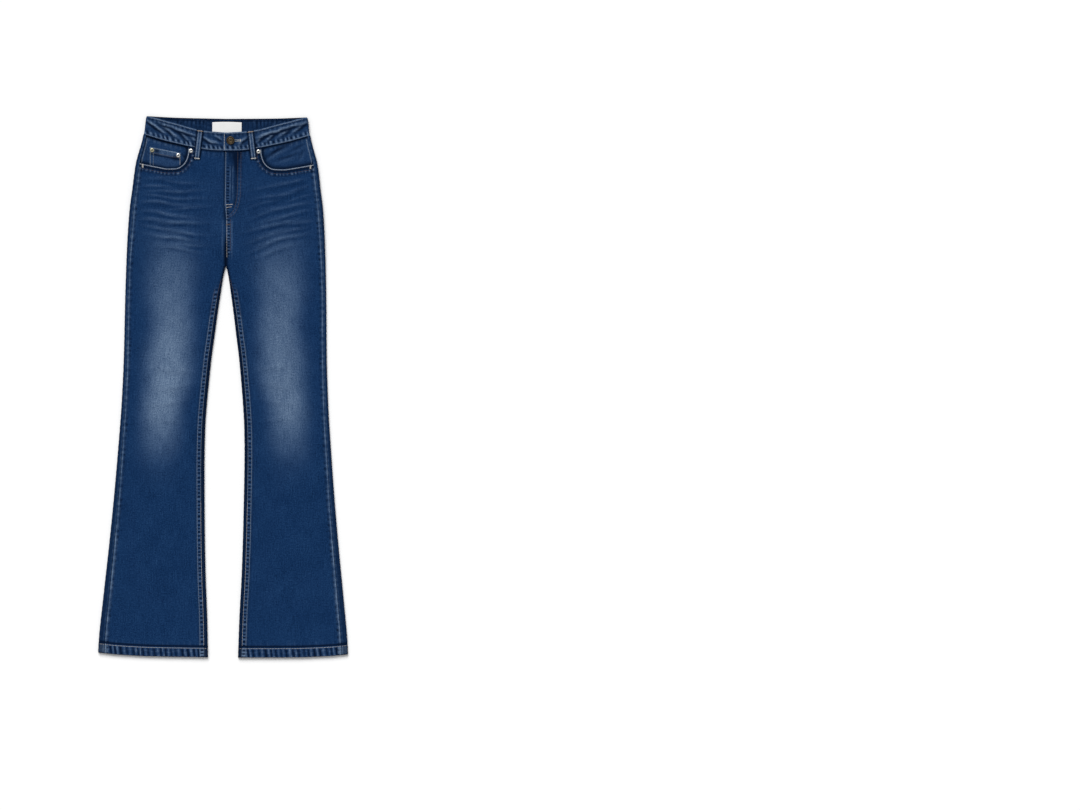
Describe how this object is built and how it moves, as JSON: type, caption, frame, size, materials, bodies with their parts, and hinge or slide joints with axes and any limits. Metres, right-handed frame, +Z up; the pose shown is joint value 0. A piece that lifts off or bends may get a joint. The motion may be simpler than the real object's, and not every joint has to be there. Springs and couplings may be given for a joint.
{
  "type": "flared jeans",
  "caption": "Mid-blue denim jeans with flared legs, scoop front pockets, yoke and patch back pockets, laid flat with the front up.",
  "frame": {"origin": "on the surface under the middle of the laid garment", "axes": "+X to the wearer's left, +Y from the hems up to the waist, +Z up from the surface to the front of the garment"},
  "size_m": [0.5244, 1.135, 0.014],
  "materials": {
    "denim": "matt twill, indigo with a soft faded strip down each thigh",
    "label": "plain white woven satin",
    "button_metal": "antique dark brass",
    "rivet_metal": "bright nickel",
    "coin_rivet_metal": "worn pale brass"
  },
  "bodies": {
    "root": {"front_left": "denim", "front_right": "denim", "back_left": "denim", "back_right": "denim", "yoke_left": "denim", "yoke_right": "denim", "waistband": "denim", "pocket_facing_left": "denim", "pocket_facing_right": "denim", "coin_pocket": "denim", "back_pocket_left": "denim", "back_pocket_right": "denim", "belt_loop_front_left": "denim", "belt_loop_front_right": "denim", "belt_loop_back_left": "denim", "belt_loop_back_middle": "denim", "belt_loop_back_right": "denim", "label": "label", "button": "button_metal", "rivet_pocket_left": "rivet_metal", "rivet_pocket_right": "rivet_metal", "rivet_coin_inner": "rivet_metal", "rivet_coin_outer": "coin_rivet_metal"}
  },
  "joints": []
}
